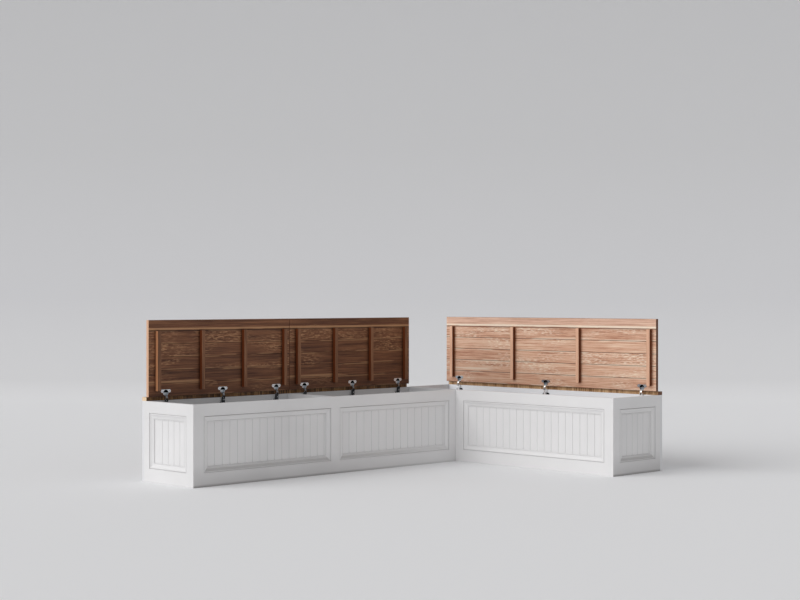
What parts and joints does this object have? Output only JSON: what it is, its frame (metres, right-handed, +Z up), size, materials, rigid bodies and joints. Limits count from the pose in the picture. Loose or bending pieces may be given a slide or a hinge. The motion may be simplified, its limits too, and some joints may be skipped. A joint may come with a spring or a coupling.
{
  "type": "corner storage bench",
  "caption": "L-shaped storage bench for a corner: painted box base with panelled fronts and ends, and hinged wood seat lids standing open.",
  "frame": {"origin": "on the floor, under the centre of the bench's outer rectangle", "axes": "+Z up, +X along the long leg towards the corner, +Y towards the long leg's back; the short leg runs along Y at +X"},
  "size_m": [2.41, 1.64, 0.862],
  "materials": {
    "white_paint": "satin white paint on wood",
    "white_boards": "white melamine-faced board",
    "lid_wood": "oiled brown hardwood",
    "strip_wood": "oiled brown hardwood",
    "hinge_steel": "nickel-plated pressed steel"
  },
  "bodies": {
    "bench": {"corner_end_board": "white_boards", "corner_wall": "white_boards", "hinge_arms": "hinge_steel", "hinge_mounting_plates": "hinge_steel", "left_end_beadboard": "white_paint", "left_end_bottom_rail": "white_paint", "left_end_moulding": "white_paint", "left_end_stile_back": "white_paint", "left_end_stile_front": "white_paint", "left_end_top_rail": "white_paint", "long_back_board": "white_boards", "long_back_strip": "strip_wood", "long_bottom_board": "white_boards", "long_front_beadboard_left": "white_paint", "long_front_beadboard_right": "white_paint", "long_front_bottom_rail": "white_paint", "long_front_moulding_left": "white_paint", "long_front_moulding_right": "white_paint", "long_front_stile_corner": "white_paint", "long_front_stile_middle": "white_paint", "long_front_stile_outer": "white_paint", "long_front_top_rail": "white_paint", "long_hinge_rail": "white_boards", "long_partition": "white_boards", "right_end_beadboard": "white_paint", "right_end_bottom_rail": "white_paint", "right_end_moulding": "white_paint", "right_end_stile_back": "white_paint", "right_end_stile_front": "white_paint", "right_end_top_rail": "white_paint", "short_back_board": "white_boards", "short_back_strip": "strip_wood", "short_bottom_board": "white_boards", "short_front_beadboard": "white_paint", "short_front_bottom_rail": "white_paint", "short_front_moulding": "white_paint", "short_front_stile_corner": "white_paint", "short_front_stile_outer": "white_paint", "short_front_top_rail": "white_paint", "short_hinge_rail": "white_boards"},
    "left_lid": {"left_lid_boards": "lid_wood", "left_lid_battens": "lid_wood", "left_hinge_cups": "hinge_steel"},
    "left_outer_links": {"left_hinge_outer_links": "hinge_steel"},
    "left_inner_links": {"left_hinge_inner_links": "hinge_steel"},
    "middle_lid": {"middle_lid_boards": "lid_wood", "middle_lid_battens": "lid_wood", "middle_hinge_cups": "hinge_steel"},
    "middle_outer_links": {"middle_hinge_outer_links": "hinge_steel"},
    "middle_inner_links": {"middle_hinge_inner_links": "hinge_steel"},
    "right_lid": {"right_lid_boards": "lid_wood", "right_lid_battens": "lid_wood", "right_hinge_cups": "hinge_steel"},
    "right_outer_links": {"right_hinge_outer_links": "hinge_steel"},
    "right_inner_links": {"right_hinge_inner_links": "hinge_steel"}
  },
  "joints": [
    {"name": "left_lid_hinge", "type": "hinge", "parent": "bench", "child": "left_lid", "pos_m": [-0.714, 0.782, 0.45], "axis": [1, 0, 0], "range_deg": [0, 90]},
    {"name": "left_outer_link_pin", "type": "hinge", "parent": "left_lid", "child": "left_outer_links", "pos_m": [-0.714, 0.765, 0.4578], "axis": [-1, 0, 0], "range_deg": [0, 156]},
    {"name": "left_inner_link_pin", "type": "hinge", "parent": "bench", "child": "left_inner_links", "pos_m": [-0.714, 0.759, 0.4335], "axis": [-1, 0, 0], "range_deg": [0, 59]},
    {"name": "middle_lid_hinge", "type": "hinge", "parent": "bench", "child": "middle_lid", "pos_m": [0.265, 0.782, 0.45], "axis": [1, 0, 0], "range_deg": [0, 90]},
    {"name": "middle_outer_link_pin", "type": "hinge", "parent": "middle_lid", "child": "middle_outer_links", "pos_m": [0.265, 0.765, 0.4578], "axis": [-1, 0, 0], "range_deg": [0, 156]},
    {"name": "middle_inner_link_pin", "type": "hinge", "parent": "bench", "child": "middle_inner_links", "pos_m": [0.265, 0.759, 0.4335], "axis": [-1, 0, 0], "range_deg": [0, 59]},
    {"name": "right_lid_hinge", "type": "hinge", "parent": "bench", "child": "right_lid", "pos_m": [1.167, 0, 0.45], "axis": [0, -1, 0], "range_deg": [0, 90]},
    {"name": "right_outer_link_pin", "type": "hinge", "parent": "right_lid", "child": "right_outer_links", "pos_m": [1.15, 0, 0.4578], "axis": [0, 1, 0], "range_deg": [0, 156]},
    {"name": "right_inner_link_pin", "type": "hinge", "parent": "bench", "child": "right_inner_links", "pos_m": [1.144, 0, 0.4335], "axis": [0, 1, 0], "range_deg": [0, 59]}
  ],
  "couplings": [
    {"joint": "left_outer_link_pin", "follows": "left_lid_hinge", "ratio": 1.7277},
    {"joint": "left_inner_link_pin", "follows": "left_lid_hinge", "ratio": 0.65},
    {"joint": "middle_outer_link_pin", "follows": "middle_lid_hinge", "ratio": 1.7277},
    {"joint": "middle_inner_link_pin", "follows": "middle_lid_hinge", "ratio": 0.65},
    {"joint": "right_outer_link_pin", "follows": "right_lid_hinge", "ratio": 1.7277},
    {"joint": "right_inner_link_pin", "follows": "right_lid_hinge", "ratio": 0.65}
  ]
}
